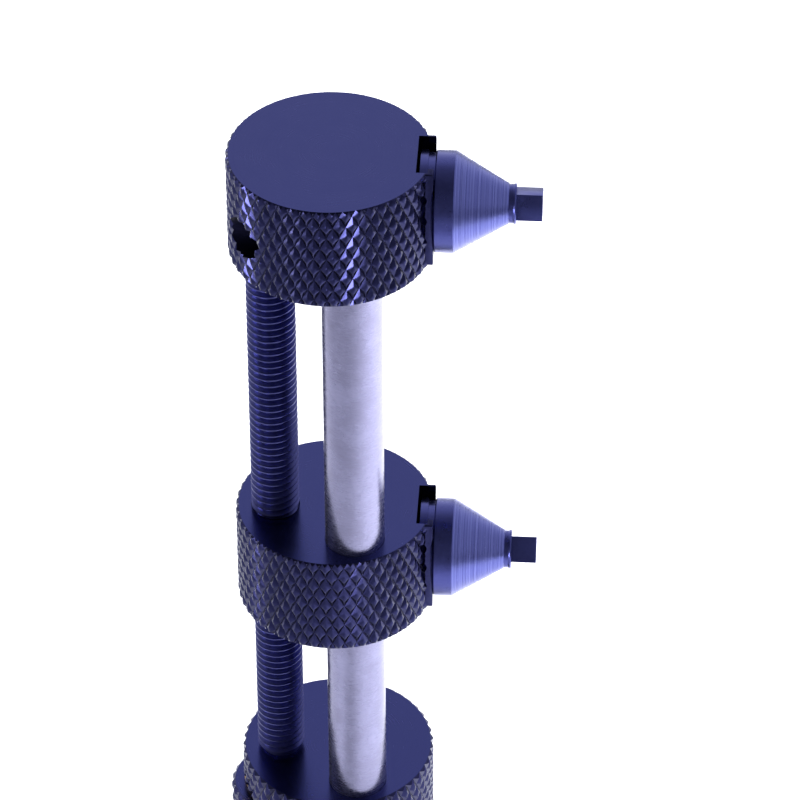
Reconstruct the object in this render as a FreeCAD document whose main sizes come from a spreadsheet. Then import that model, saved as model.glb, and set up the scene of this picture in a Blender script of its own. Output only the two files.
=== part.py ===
"""Adjustable two-bit case-back wrench: two knurled tool heads on a guide rod and a lead screw.

The frame: origin at the centre of the end block's foot, +Z up along the rods, bits along +X.
Turning the adjusting wheel turns the lead screw, and the sliding head climbs or drops along it.
"""

import FreeCAD, Part
import math
import os
import Sketcher
from FreeCAD import Rotation, Vector

SIZES = {
    # heads and end block
    "head_radius": 10.1,
    "edge_chamfer": 0.15,
    "head_height": 11.3,
    "block_height": 15.0,
    "fixed_head_base": 81.1,
    "sliding_head_base": 37.0,
    # guide rod
    "guide_x": 2.4,
    "guide_y": -5.5,
    "guide_radius": 3.0,
    "guide_fixed_fit": 0.01,
    "guide_sliding_fit": 0.04,
    "guide_foot": 2.0,
    "guide_depth_in_head": 9.3,
    "rod_chamfer": 0.3,
    # lead screw, M5 x 0.8
    "screw_x": -6.0,
    "screw_y": -0.6,
    "screw_radius": 2.45,
    "screw_fit": 0.05,
    "journal_radius": 2.0,
    "journal_fit": 0.03,
    "journal_foot": 1.5,
    "screw_shoulder_gap": 0.3,
    "journal_depth_in_head": 8.0,
    "thread_chamfer": 0.45,
    # adjusting wheel and its slot
    "wheel_radius": 5.4,
    "wheel_height": 5.0,
    "wheel_chamfer": 0.4,
    "wheel_base": 5.0,
    "wheel_clearance": 0.4,
    "washer_thickness": 0.5,
    "washer_radius": 4.0,
    "washer_bore": 2.12,
    "washer_gap": 0.1,
    # slot for a bit: an undercut groove, open at the top of a head
    "slot_wall": 8.45,
    "slot_lip": 9.58,
    "slot_width": 6.0,
    "mouth_width": 4.6,
    "slot_depth": 10.65,
    "rib_face": 10.15,
    "rib_width": 6.6,
    "rib_root": 8.0,
    "rib_top_drop": 0.2,
    "rib_foot": 0.4,
    # bits
    "bit_drop": 5.55,
    "tongue_back": 8.75,
    "tongue_front": 9.5,
    "tongue_width": 5.9,
    "neck_width": 4.5,
    "neck_radius": 4.8,
    "bit_radius": 5.0,
    "bit_back": 10.2,
    "bit_edge": 0.12,
    "cone_start": 12.1,
    "cone_end": 17.3,
    "collar_radius": 2.0,
    "collar_end": 18.05,
    "tip_end": 20.6,
    "tip_side": 2.65,
    "fixed_tip_turn": 71.0,
    "sliding_tip_turn": 50.0,
    # detent behind each bit
    "detent_radius": 1.0,
    "detent_depth": 4.5,
    "ball_radius": 0.95,
    "ball_gap": 0.02,
    "spring_outer": 0.85,
    "spring_inner": 0.55,
    # grub screws
    "grub_hole_radius": 2.0,
    "grub_radius": 1.97,
    "grub_socket": 1.1,
    "grub_socket_depth": 2.0,
    "grub_bevel": 0.4,
    "head_grub_drop": 6.6,
    "head_grub_length": 5.0,
    "block_grub_length": 6.0,
    "wheel_grub_hole_radius": 1.25,
    "wheel_grub_radius": 1.22,
    "wheel_grub_length": 2.8,
    "wheel_grub_socket": 0.7,
    "wheel_grub_socket_depth": 1.2,
    "grub_rod_gap": 0.02,
    # allowances for hidden ends and for cuts that run past a face
    "bore_relief": 0.2,
    "end_gap": 0.05,
    "overrun": 0.5,
}

FULL_TURN = 360.0
DOWN = "XY_Plane"
SIDE = "YZ_Plane"
FRONT = "XZ_Plane"


class Size:
    """A length that knows both its number and the spreadsheet expression it comes from."""

    def __init__(self, value, expr):
        self.value = value
        self.expr = expr

    def _join(self, sign, other):
        other = other if isinstance(other, Size) else Size(float(other), repr(float(other)))
        value = {
            "+": self.value + other.value,
            "-": self.value - other.value,
            "*": self.value * other.value,
        }[sign]
        return Size(value, f"({self.expr} {sign} {other.expr})")

    def __add__(self, other):
        return self._join("+", other)

    def __sub__(self, other):
        return self._join("-", other)

    def __mul__(self, other):
        return self._join("*", other)

    def __neg__(self):
        return self * -1.0


class Sizes:
    """The driving dimensions as attributes, each one a Size bound to its spreadsheet cell."""

    def __init__(self, doc, numbers):
        sheet = doc.addObject("Spreadsheet::Sheet", "Sizes")
        for row, (alias, number) in enumerate(numbers.items(), start=1):
            sheet.set(f"A{row}", alias)
            sheet.set(f"B{row}", repr(number))
            sheet.setAlias(f"B{row}", alias)
            setattr(self, alias, Size(number, f"Sizes.{alias}"))


doc = FreeCAD.newDocument("CaseBackWrench")
size = Sizes(doc, SIZES)
zero = Size(0.0, "0.0")
doc.recompute()
parts = []


def bind(obj, **properties):
    """Ties properties of an object to sizes; a double underscore stands for a dot."""
    for name, length in properties.items():
        obj.setExpression(name.replace("__", "."), length.expr)


def finish_part(obj, label, x=zero, y=zero, z=zero):
    """Names a sub-part and puts it in its place in the assembly."""
    obj.Label = label
    bind(obj, Placement__Base__x=x, Placement__Base__y=y, Placement__Base__z=z)
    parts.append(obj)
    return obj


def new_body(label, x=zero, y=zero, z=zero):
    return finish_part(doc.addObject("PartDesign::Body", label), label, x, y, z)


def new_sketch(body, plane, offset=zero):
    """An empty sketch on one of the body's origin planes, moved along the plane's normal."""
    sketch = body.newObject("Sketcher::SketchObject", "Sketch")
    origin = [f for f in body.Origin.OriginFeatures if f.Role == plane][0]
    sketch.AttachmentSupport = [(origin, "")]
    sketch.MapMode = "FlatFace"
    bind(sketch, AttachmentOffset__Base__z=offset)
    return sketch


def polygon(sketch, points):
    """A closed outline whose every corner is held by two sizes."""
    corners = [Vector(u.value, v.value, 0) for u, v in points]
    count = len(corners)
    for i in range(count):
        sketch.addGeometry(Part.LineSegment(corners[i], corners[(i + 1) % count]), False)
    for i in range(count):
        sketch.addConstraint(Sketcher.Constraint("Coincident", i, 2, (i + 1) % count, 1))
    for i, (u, v) in enumerate(points):
        for kind, length in (("DistanceX", u), ("DistanceY", v)):
            held = sketch.addConstraint(Sketcher.Constraint(kind, -1, 1, i, 1, length.value))
            sketch.setExpression(f"Constraints[{held}]", length.expr)


def circle(sketch, u, v, radius):
    """A circle held by its centre and radius."""
    centre = Vector(u.value, v.value, 0)
    ring = sketch.addGeometry(Part.Circle(centre, Vector(0, 0, 1), radius.value), False)
    for kind, length in (("DistanceX", u), ("DistanceY", v)):
        held = sketch.addConstraint(Sketcher.Constraint(kind, -1, 1, ring, 3, length.value))
        sketch.setExpression(f"Constraints[{held}]", length.expr)
    held = sketch.addConstraint(Sketcher.Constraint("Radius", ring, radius.value))
    sketch.setExpression(f"Constraints[{held}]", radius.expr)


def box_corners(u_low, u_high, v_low, v_high):
    return [(u_low, v_low), (u_high, v_low), (u_high, v_high), (u_low, v_high)]


def revolve(body, points):
    """A turned solid from a half section of (radius, height) points, about the body's Z axis."""
    sketch = new_sketch(body, FRONT)
    polygon(sketch, points)
    turned = body.newObject("PartDesign::Revolution", "Turned")
    turned.Profile = sketch
    turned.ReferenceAxis = (sketch, ["V_Axis"])
    turned.Angle = FULL_TURN
    doc.recompute()
    return turned


def extrude(body, kind, plane, offset, length, draw, reverse=False):
    """A Pad or Pocket of the outline that draw makes, from an offset plane."""
    sketch = new_sketch(body, plane, offset)
    draw(sketch)
    feature = body.newObject(f"PartDesign::{kind}", kind)
    feature.Profile = sketch
    bind(feature, Length=length)
    feature.Reversed = reverse
    before = body.Shape.Volume
    doc.recompute()
    grew = body.Shape.Volume - before
    if (kind == "Pocket") == (grew > -1e-4):
        raise RuntimeError(f"{body.Label}: {kind} changed the volume by {grew:.4f}")
    return feature


def turned_disc(body, radius, height, chamfer):
    """A disc with both rims chamfered."""
    revolve(
        body,
        [
            (zero, zero),
            (radius - chamfer, zero),
            (radius, chamfer),
            (radius, height - chamfer),
            (radius - chamfer, height),
            (zero, height),
        ],
    )


def cut_bit_slot(body):
    """The rib, undercut slot and detent bore that hold one bit at the +X side of a head."""
    half_rib = size.rib_width * 0.5
    half_slot = size.slot_width * 0.5
    half_mouth = size.mouth_width * 0.5
    rib_height = size.head_height - size.rib_foot - size.rib_top_drop
    extrude(
        body,
        "Pad",
        DOWN,
        size.rib_foot,
        rib_height,
        lambda s: polygon(s, box_corners(size.rib_root, size.rib_face, -half_rib, half_rib)),
    )
    extrude(
        body,
        "Pocket",
        DOWN,
        size.head_height,
        size.slot_depth,
        lambda s: polygon(s, box_corners(size.slot_wall, size.slot_lip, -half_slot, half_slot)),
    )
    past_rim = size.rib_face + size.overrun
    extrude(
        body,
        "Pocket",
        DOWN,
        size.head_height,
        size.slot_depth,
        lambda s: polygon(s, box_corners(size.tongue_front, past_rim, -half_mouth, half_mouth)),
    )
    axis_height = size.head_height - size.bit_drop
    extrude(
        body,
        "Pocket",
        SIDE,
        size.slot_wall + size.end_gap,
        size.detent_depth + size.end_gap,
        lambda s: circle(s, zero, axis_height, size.detent_radius),
    )


def make_fixed_head():
    """The top head: both rods end in it, and a grub screw locks the guide rod."""
    body = new_body("fixed_head", z=size.fixed_head_base)
    turned_disc(body, size.head_radius, size.head_height, size.edge_chamfer)
    cut_bit_slot(body)
    for x, y, radius, depth in (
        (size.guide_x, size.guide_y, size.guide_radius + size.guide_fixed_fit, size.guide_depth_in_head),
        (size.screw_x, size.screw_y, size.journal_radius + size.journal_fit, size.journal_depth_in_head),
    ):
        extrude(
            body, "Pocket", DOWN, zero, depth + size.bore_relief, lambda s: circle(s, x, y, radius), reverse=True
        )
    extrude(
        body,
        "Pocket",
        SIDE,
        -size.head_radius,
        size.head_radius + size.guide_x - size.guide_radius + size.overrun,
        lambda s: circle(
            s, size.guide_y, size.head_height - size.head_grub_drop, size.grub_hole_radius
        ),
        reverse=True,
    )


def make_sliding_head():
    """The middle head: reamed for the guide rod and tapped for the lead screw."""
    body = new_body("sliding_head", z=size.sliding_head_base)
    turned_disc(body, size.head_radius, size.head_height, size.edge_chamfer)
    cut_bit_slot(body)
    for x, y, radius in (
        (size.guide_x, size.guide_y, size.guide_radius + size.guide_sliding_fit),
        (size.screw_x, size.screw_y, size.screw_radius + size.screw_fit),
    ):
        extrude(
            body,
            "Pocket",
            DOWN,
            size.head_height,
            size.head_height,
            lambda s: circle(s, x, y, radius),
        )


def make_end_block():
    """The foot: holds the guide rod and houses the adjusting wheel in a slot through its side."""
    body = new_body("end_block")
    turned_disc(body, size.head_radius, size.block_height, size.edge_chamfer)
    extrude(
        body,
        "Pocket",
        DOWN,
        size.block_height,
        size.block_height - size.guide_foot,
        lambda s: circle(s, size.guide_x, size.guide_y, size.guide_radius + size.guide_fixed_fit),
    )
    extrude(
        body,
        "Pocket",
        DOWN,
        size.block_height,
        size.block_height - size.journal_foot + size.bore_relief,
        lambda s: circle(s, size.screw_x, size.screw_y, size.journal_radius + size.journal_fit),
    )
    stack = size.washer_thickness + size.washer_gap
    slot_base = size.wheel_base - stack
    slot_height = size.wheel_height + stack * 2.0
    slot_radius = size.wheel_radius + size.wheel_clearance
    extrude(
        body,
        "Pocket",
        DOWN,
        slot_base + slot_height,
        slot_height,
        lambda s: circle(s, size.screw_x, size.screw_y, slot_radius),
    )
    extrude(
        body,
        "Pocket",
        DOWN,
        slot_base + slot_height,
        slot_height,
        lambda s: polygon(
            s,
            box_corners(
                -size.head_radius - size.overrun,
                size.screw_x,
                size.screw_y - slot_radius,
                size.screw_y + slot_radius,
            ),
        ),
    )
    extrude(
        body,
        "Pocket",
        FRONT,
        -size.head_radius,
        size.head_radius - size.guide_y - size.guide_radius + size.overrun,
        lambda s: circle(s, size.guide_x, size.block_height * 0.5, size.grub_hole_radius),
        reverse=True,
    )


def make_guide_rod():
    """The plain ground rod, fixed at both ends, that the sliding head runs along."""
    top = size.fixed_head_base + size.guide_depth_in_head
    body = new_body("guide_rod", size.guide_x, size.guide_y)
    revolve(
        body,
        [
            (zero, size.guide_foot + size.end_gap),
            (size.guide_radius - size.rod_chamfer, size.guide_foot + size.end_gap),
            (size.guide_radius, size.guide_foot + size.end_gap + size.rod_chamfer),
            (size.guide_radius, top - size.rod_chamfer),
            (size.guide_radius - size.rod_chamfer, top),
            (zero, top),
        ],
    )


def make_lead_screw():
    """The lead screw: a thread at its major diameter between two plain journals."""
    low = size.block_height + size.screw_shoulder_gap
    high = size.fixed_head_base - size.screw_shoulder_gap
    top = size.fixed_head_base + size.journal_depth_in_head
    body = new_body("lead_screw", size.screw_x, size.screw_y)
    revolve(
        body,
        [
            (zero, size.journal_foot),
            (size.journal_radius, size.journal_foot),
            (size.journal_radius, low),
            (size.screw_radius, low + size.thread_chamfer),
            (size.screw_radius, high - size.thread_chamfer),
            (size.journal_radius, high),
            (size.journal_radius, top),
            (zero, top),
        ],
    )


def make_adjusting_wheel():
    """The knurled wheel on the screw's lower journal, with a hole for its grub screw."""
    body = new_body("adjusting_wheel", size.screw_x, size.screw_y, size.wheel_base)
    turned_disc(body, size.wheel_radius, size.wheel_height, size.wheel_chamfer)
    extrude(
        body,
        "Pocket",
        DOWN,
        size.wheel_height,
        size.wheel_height,
        lambda s: circle(s, zero, zero, size.journal_radius + size.guide_fixed_fit),
    )
    extrude(
        body,
        "Pocket",
        SIDE,
        -size.wheel_radius,
        size.wheel_radius - size.journal_radius + size.overrun,
        lambda s: circle(s, zero, size.wheel_height * 0.5, size.wheel_grub_hole_radius),
        reverse=True,
    )


def make_washer(label, base):
    """A plain thrust washer between the wheel and one wall of its slot."""
    body = new_body(label, size.screw_x, size.screw_y, base)
    revolve(
        body,
        box_corners(size.washer_bore, size.washer_radius, zero, size.washer_thickness),
    )


def make_grub(label, radius, length, socket, socket_depth):
    """A socket set screw along its own +Z, point at the origin and socket at the far end."""
    body = new_body(label)
    bevel = size.grub_bevel
    revolve(
        body,
        [
            (zero, zero),
            (radius - bevel, zero),
            (radius, bevel),
            (radius, length - bevel * 0.5),
            (radius - bevel * 0.5, length),
            (zero, length),
        ],
    )
    turns = [math.radians(60.0 * i) for i in range(6)]
    corners = [(socket * math.cos(turn), socket * math.sin(turn)) for turn in turns]
    extrude(body, "Pocket", DOWN, length, socket_depth, lambda s: polygon(s, corners))
    return body


def make_grub_screws():
    """The three set screws: one in each end of the guide rod and one in the wheel."""
    head = make_grub(
        "head_grub_screw",
        size.grub_radius,
        size.head_grub_length,
        size.grub_socket,
        size.grub_socket_depth,
    )
    head.Placement.Rotation = Rotation(Vector(0, 1, 0), -90)
    bind(
        head,
        Placement__Base__x=size.guide_x - size.guide_radius - size.grub_rod_gap,
        Placement__Base__y=size.guide_y,
        Placement__Base__z=size.fixed_head_base + size.head_height - size.head_grub_drop,
    )
    block = make_grub(
        "end_block_grub_screw",
        size.grub_radius,
        size.block_grub_length,
        size.grub_socket,
        size.grub_socket_depth,
    )
    block.Placement.Rotation = Rotation(Vector(1, 0, 0), -90)
    bind(
        block,
        Placement__Base__x=size.guide_x,
        Placement__Base__y=size.guide_y + size.guide_radius + size.grub_rod_gap,
        Placement__Base__z=size.block_height * 0.5,
    )
    wheel = make_grub(
        "wheel_grub_screw",
        size.wheel_grub_radius,
        size.wheel_grub_length,
        size.wheel_grub_socket,
        size.wheel_grub_socket_depth,
    )
    wheel.Placement.Rotation = Rotation(Vector(0, 1, 0), -90)
    bind(
        wheel,
        Placement__Base__x=size.screw_x - size.journal_radius - size.grub_rod_gap,
        Placement__Base__y=size.screw_y,
        Placement__Base__z=size.wheel_base + size.wheel_height * 0.5,
    )


def make_bit(label, base, tip_turn):
    """A cone bit turned about its own +Z, which lies along +X when it is in its slot.

    Flats on the tongue and the neck fit the slot and its mouth, and the tip is square.
    """
    body = new_body(label, z=base + size.head_height - size.bit_drop)
    body.Placement.Rotation = Rotation(Vector(0, 1, 0), 90)
    revolve(
        body,
        [
            (zero, size.tongue_back),
            (size.bit_radius, size.tongue_back),
            (size.bit_radius, size.tongue_front),
            (size.neck_radius, size.tongue_front),
            (size.neck_radius, size.bit_back),
            (size.bit_radius - size.bit_edge, size.bit_back),
            (size.bit_radius, size.bit_back + size.bit_edge),
            (size.bit_radius, size.cone_start),
            (size.collar_radius, size.cone_end),
            (size.collar_radius, size.collar_end),
            (zero, size.collar_end),
        ],
    )
    reach = size.bit_radius + size.overrun
    for low, high, width in (
        (size.tongue_back, size.tongue_front, size.tongue_width),
        (size.tongue_front, size.bit_back, size.neck_width),
    ):
        for side in (-1.0, 1.0):
            flat = width * (0.5 * side)
            outside = reach * side
            near, far = (flat, outside) if side > 0 else (outside, flat)
            extrude(
                body,
                "Pocket",
                DOWN,
                high,
                high - low,
                lambda s: polygon(s, box_corners(-reach, reach, near, far)),
            )
    half = size.tip_side * 0.5
    tip = extrude(
        body,
        "Pad",
        DOWN,
        size.collar_end,
        size.tip_end - size.collar_end,
        lambda s: polygon(s, box_corners(-half, half, -half, half)),
    )
    tip.Profile[0].AttachmentOffset.Rotation = Rotation(Vector(0, 0, 1), tip_turn.value)
    tip.Profile[0].setExpression("AttachmentOffset.Rotation.Angle", tip_turn.expr)
    doc.recompute()


def make_detent(side, base):
    """The ball that presses on a bit's tongue, and the spring in the bore behind it."""
    axis_height = base + size.head_height - size.bit_drop
    ball_x = size.tongue_back - size.ball_gap - size.ball_radius
    ball = doc.addObject("Part::Sphere", f"{side}_bit_detent_ball")
    bind(ball, Radius=size.ball_radius)
    finish_part(ball, f"{side}_bit_detent_ball", x=ball_x, z=axis_height)
    bore_end = size.slot_wall - size.detent_depth + size.end_gap
    body = new_body(f"{side}_bit_detent_spring", x=bore_end, z=axis_height)
    body.Placement.Rotation = Rotation(Vector(0, 1, 0), 90)
    length = ball_x - size.ball_radius - bore_end - size.ball_gap
    revolve(body, box_corners(size.spring_inner, size.spring_outer, zero, length))


make_fixed_head()
make_sliding_head()
make_end_block()
make_guide_rod()
make_lead_screw()
make_adjusting_wheel()
make_washer("lower_thrust_washer", size.wheel_base - size.washer_gap * 0.5 - size.washer_thickness)
make_washer("upper_thrust_washer", size.wheel_base + size.wheel_height + size.washer_gap * 0.5)
make_grub_screws()
make_bit("fixed_bit", size.fixed_head_base, size.fixed_tip_turn)
make_bit("sliding_bit", size.sliding_head_base, size.sliding_tip_turn)
make_detent("fixed", size.fixed_head_base)
make_detent("sliding", size.sliding_head_base)
doc.recompute()

for obj in doc.Objects:
    if "Invalid" in obj.State or "Error" in obj.State:
        raise RuntimeError(f"{obj.Label} did not build: {obj.State}")
for part in parts:
    if part.Shape.isNull() or not part.Shape.isValid():
        raise RuntimeError(f"{part.Label} has no valid shape")

os.makedirs("parts", exist_ok=True)
for part in parts:
    part.Shape.exportStep(f"parts/{part.Label}.step")
    box = part.Shape.BoundBox
    print(
        f"{part.Label:28s} {part.Shape.Volume:9.2f} mm3"
        f"  x {box.XMin:7.2f} {box.XMax:7.2f}  y {box.YMin:7.2f} {box.YMax:7.2f}"
        f"  z {box.ZMin:7.2f} {box.ZMax:7.2f}"
    )
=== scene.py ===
"""Looks of an adjustable case-back wrench: knurled heads, cone bits, a guide rod and a lead screw.

Sizes are in millimetres in the row frame, +Z up along the rods and +X along the bits, and every
finished mesh is scaled to metres once, when it is placed on its body.
"""

from __future__ import annotations

import logging
import math
import random
from dataclasses import dataclass, field
from enum import Enum
from functools import cache
from typing import Callable, Sequence

import bmesh
import bpy
from bmesh.types import BMesh
from bpy.types import Light, Material, Mesh, Node, NodeSocket, NodeTree, Object
from mathutils import Matrix, Vector

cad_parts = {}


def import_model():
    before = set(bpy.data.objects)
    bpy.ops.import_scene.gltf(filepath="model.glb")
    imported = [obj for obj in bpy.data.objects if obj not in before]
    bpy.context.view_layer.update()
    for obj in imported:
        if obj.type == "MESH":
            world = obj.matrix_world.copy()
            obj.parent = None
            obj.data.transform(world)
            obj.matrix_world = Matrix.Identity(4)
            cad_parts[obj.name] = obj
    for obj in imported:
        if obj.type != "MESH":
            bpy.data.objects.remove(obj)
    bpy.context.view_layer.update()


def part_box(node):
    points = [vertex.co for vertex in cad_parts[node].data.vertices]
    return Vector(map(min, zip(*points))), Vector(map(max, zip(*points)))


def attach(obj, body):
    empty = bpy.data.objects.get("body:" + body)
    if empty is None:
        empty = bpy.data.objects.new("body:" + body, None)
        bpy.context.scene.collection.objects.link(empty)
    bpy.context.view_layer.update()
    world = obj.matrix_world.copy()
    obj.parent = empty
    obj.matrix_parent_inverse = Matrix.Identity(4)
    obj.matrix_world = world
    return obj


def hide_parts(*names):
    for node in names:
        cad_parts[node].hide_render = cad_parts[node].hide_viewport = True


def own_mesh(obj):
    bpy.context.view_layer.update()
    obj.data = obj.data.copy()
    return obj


log = logging.getLogger("case_back_wrench")

METRES = 0.001
ROUND_SEGMENTS = 160
FINE_SEGMENTS = 48
MERGE = 0.0002
# How far a cutter goes past a face, and how far it reaches into the cut or the solid beside it.
PAST = 1.0
OVERLAP = 0.1
# How far a trimming outline stands clear of a thread's crests.
THREAD_MARGIN = 0.05
# How much deeper a cone's first turning lines are than the others.
DEEPER = 3.0
# A face this near a block's end, and facing this far up or down, is the block's end face.
ON_FACE = 0.01
LEVEL = 0.9
MATH = "ShaderNodeMath"
NOISE = "ShaderNodeTexNoise"
RAMP = "ShaderNodeMapRange"


class Body(Enum):
    """The rigid bodies of the mechanism."""

    FRAME = "frame"
    SCREW = "screw"
    SLIDER = "slider"
    FIXED_BIT = "fixed_bit_body"
    SLIDING_BIT = "sliding_bit_body"
    FIXED_BALL = "fixed_ball_body"
    SLIDING_BALL = "sliding_ball_body"


class Slot(Enum):
    """The material slots of the record."""

    KNURL = "black_oxide_knurl"
    TURNED = "black_oxide_turned"
    THREAD = "black_oxide_thread"
    SET_SCREW = "black_oxide_screw"
    GROUND = "ground_steel"
    BALL = "bearing_steel"
    SPRING = "spring_steel"
    BRASS = "brass_washer"


# Nodes and colours


def linear(hex_colour: str) -> tuple[float, float, float, float]:
    """Turns an sRGB hex colour to the linear colour that shaders use.

    Args:
        hex_colour: Six hex digits after a hash sign.

    Returns:
        Linear red, green, blue and an alpha of one.
    """
    channels = [int(hex_colour[i : i + 2], 16) / 255 for i in (1, 3, 5)]
    red, green, blue = [c / 12.92 if c <= 0.04045 else ((c + 0.055) / 1.055) ** 2.4 for c in channels]
    return red, green, blue, 1.0


def add_node(
    tree: NodeTree,
    kind: str,
    sockets: dict[str | int, object] | tuple[object, ...] = (),
    **settings: object,
) -> Node:
    """Adds a node with its settings, and sets or links its inputs.

    Args:
        tree: The tree that the node joins.
        kind: The node's type name.
        sockets: Inputs by name or place. A node links from its first output.
        **settings: Properties of the node itself.

    Returns:
        The new node.
    """
    node = tree.nodes.new(kind)
    for name, value in settings.items():
        setattr(node, name, value)
    pairs = sockets.items() if isinstance(sockets, dict) else enumerate(sockets)
    for key, value in pairs:
        source = value.outputs[0] if isinstance(value, Node) else value
        if isinstance(source, NodeSocket):
            tree.links.new(source, node.inputs[key])
        else:
            node.inputs[key].default_value = source
    return node


# Finishes


@dataclass(frozen=True)
class Finish:
    """A metal surface with its colour, gloss and the marks of how it was made.

    Attributes:
        name: The material's name.
        colour: The main colour, sRGB hex.
        worn: The colour where the finish is rubbed or catches the tool's lines, sRGB hex.
        roughness: The mean roughness.
        anisotropy: How much the marks stretch a highlight across themselves.
        bump: Height of the marks, in metres.
        mark_share: How far the marks move the colour from the main to the worn one.
        patch_share: How far soft patches a few millimetres wide do.
        speck_share: How far sparse specks do.
    """

    name: str
    colour: str
    worn: str
    roughness: float
    anisotropy: float = 0.0
    bump: float = 0.000002
    mark_share: float = 0.5
    patch_share: float = 0.2
    speck_share: float = 0.0

    @cache
    def material(self) -> Material:
        """Builds the material the first time, and gives the same one again after that.

        Returns:
            The material, with its marks, roughness and relief from nodes.
        """
        made = bpy.data.materials.new(self.name)
        made.use_nodes = True
        tree = made.node_tree
        tree.nodes.clear()
        position = add_node(tree, "ShaderNodeTexCoord").outputs["Object"]
        marks = self.marks(tree, position)
        clouds = {"Vector": position, "Scale": 420.0, "Detail": 3.0, "Roughness": 0.55}
        patches = add_node(tree, NOISE, clouds)
        lined = add_node(tree, MATH, (marks, self.mark_share), operation="MULTIPLY")
        clouded = add_node(tree, MATH, (patches, self.patch_share, lined), operation="MULTIPLY_ADD")
        tint = add_node(tree, MATH, (clouded, self.specks(tree, position)), operation="ADD")
        shades = {"Factor": tint, "A": linear(self.colour), "B": linear(self.worn)}
        colour = add_node(tree, "ShaderNodeMix", shades, data_type="RGBA")
        # The roughness wanders by a quarter of itself either way.
        unevenness = add_node(tree, MATH, (marks, patches), operation="ADD")
        spread = (unevenness, 0.5, 1.5, self.roughness * 0.75, self.roughness * 1.25)
        raised = {"Height": marks, "Strength": 1.0, "Distance": self.bump}
        sockets = {
            "Base Color": colour.outputs["Result"],
            "Metallic": 1.0,
            "Roughness": add_node(tree, RAMP, spread),
            "Anisotropic": self.anisotropy,
            "Normal": add_node(tree, "ShaderNodeBump", raised),
        }
        surface = add_node(tree, "ShaderNodeBsdfPrincipled", sockets)
        add_node(tree, "ShaderNodeOutputMaterial", {"Surface": surface})
        return made

    def marks(self, tree: NodeTree, position: NodeSocket) -> Node:
        """The marks that the making left, from 0 to 1: a plain grain of 0.4 mm here."""
        grain = {"Vector": position, "Scale": 2600.0, "Detail": 4.0, "Roughness": 0.6}
        return add_node(tree, NOISE, grain)

    def specks(self, tree: NodeTree, position: NodeSocket) -> Node:
        """Sparse pale specks about 0.15 mm across, a millimetre or so apart."""
        cells = add_node(tree, "ShaderNodeTexVoronoi", {"Vector": position, "Scale": 1000.0})
        return add_node(tree, RAMP, (cells, 0.05, 0.11, self.speck_share, 0.0))


@dataclass(frozen=True)
class FacedFinish(Finish):
    """Faced in a lathe: fine rings about an upright axis.

    Attributes:
        axis: Where the axis stands, in metres.
    """

    axis: tuple[float, float] = (0.0, 0.0)

    def marks(self, tree: NodeTree, position: NodeSocket) -> Node:
        """Rings about the axis, 0.02 to 0.2 mm apart, from the distance to it."""
        middle = (-self.axis[0], -self.axis[1], 0.0)
        onto = {"Vector": position, "Location": middle, "Scale": (1.0, 1.0, 0.0)}
        centred = add_node(tree, "ShaderNodeMapping", onto)
        radius = add_node(tree, "ShaderNodeVectorMath", (centred,), operation="LENGTH").outputs["Value"]
        rings = {"W": radius, "Scale": 5200.0, "Detail": 3.0, "Roughness": 0.7}
        return add_node(tree, NOISE, rings, noise_dimensions="1D")


@dataclass(frozen=True)
class TurnedFinish(Finish):
    """Turned in a lathe about an axis along X: lines round the axis."""

    def marks(self, tree: NodeTree, position: NodeSocket) -> Node:
        """Lines 0.03 to 0.2 mm apart, from the place along the axis."""
        along = add_node(tree, "ShaderNodeSeparateXYZ", (position,))
        fine = {"W": along, "Scale": 5000.0, "Detail": 3.0, "Roughness": 0.8}
        lines = add_node(tree, NOISE, fine, noise_dimensions="1D")
        return add_node(tree, RAMP, (lines, 0.35, 0.68, 0.0, 1.0))


@dataclass(frozen=True)
class GroundFinish(Finish):
    """Centreless ground: short fine scratches round a rod that stands along Z."""

    def marks(self, tree: NodeTree, position: NodeSocket) -> Node:
        """Scratches about a millimetre long and under 0.1 mm high."""
        along = {"Vector": position, "Scale": (1200.0, 1200.0, 14000.0)}
        drawn = add_node(tree, "ShaderNodeMapping", along)
        return add_node(tree, NOISE, {"Vector": drawn, "Scale": 1.0, "Detail": 3.0})


# Black oxide on a knurl: a thin blue-black skin on steel, semi-gloss, rubbed paler on the tips.
KNURLED_BLACK = Finish("knurled_black_oxide", "#1a1b36", "#383964", 0.23, bump=0.000004)
# Black oxide over a faced end: the same skin, smoother, with faint rings and a few pale specks.
FACED_BLACK = FacedFinish("faced_black_oxide", "#383c70", "#454980", 0.24, 0.2, 0.0000012, 0.5, 0.25, 0.5)
# The same finish on the adjusting wheel, ringed about the lead screw's axis.
WHEEL_BLACK = FacedFinish(
    "faced_black_oxide_wheel", "#383c70", "#454980", 0.24, 0.2, 0.0000012, axis=(-0.006, -0.0006)
)
# Painted shade in holes and slots: black oxide made nearly black and dull, standing in for the shade
# inside them.
BORE_PAINTED_SHADE = Finish("bore_painted_shade", "#0c0c1c", "#1a1a30", 0.5)
# Black oxide over a turned cone: satin with distinct lines round it, and paler than the plain parts as
# painted light for the bright side that the cone faces.
TURNED_BLACK_PAINTED_LIGHT = TurnedFinish(
    "turned_black_oxide_painted_light", "#454984", "#6b70ae", 0.32, 0.3, 0.000006, 0.8, 0.15, 0.3
)
# Black oxide on the bits' plain parts: finely turned or milled, so smoother, and darker than the cone,
# whose paler colour is painted light.
SMOOTH_BLACK = Finish("smooth_black_oxide", "#424582", "#545894", 0.3, bump=0.000001)
# Black oxide over a rolled thread: smooth flanks, as glossy as the knurl and darker.
THREAD_BLACK = Finish("thread_black_oxide", "#34365f", "#585a94", 0.34)
# Black oxide set screws: darker and duller, because oil sits in them.
SCREW_BLACK = Finish("set_screw_black_oxide", "#10101e", "#24243c", 0.4)
# Bare centreless-ground steel: pale, satin, fine scratches round the rod and faint stains.
GROUND_STEEL = GroundFinish("ground_steel", "#67647a", "#9b9bbc", 0.27, 0.3, 0.0000015, 0.4, 0.6)
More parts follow.
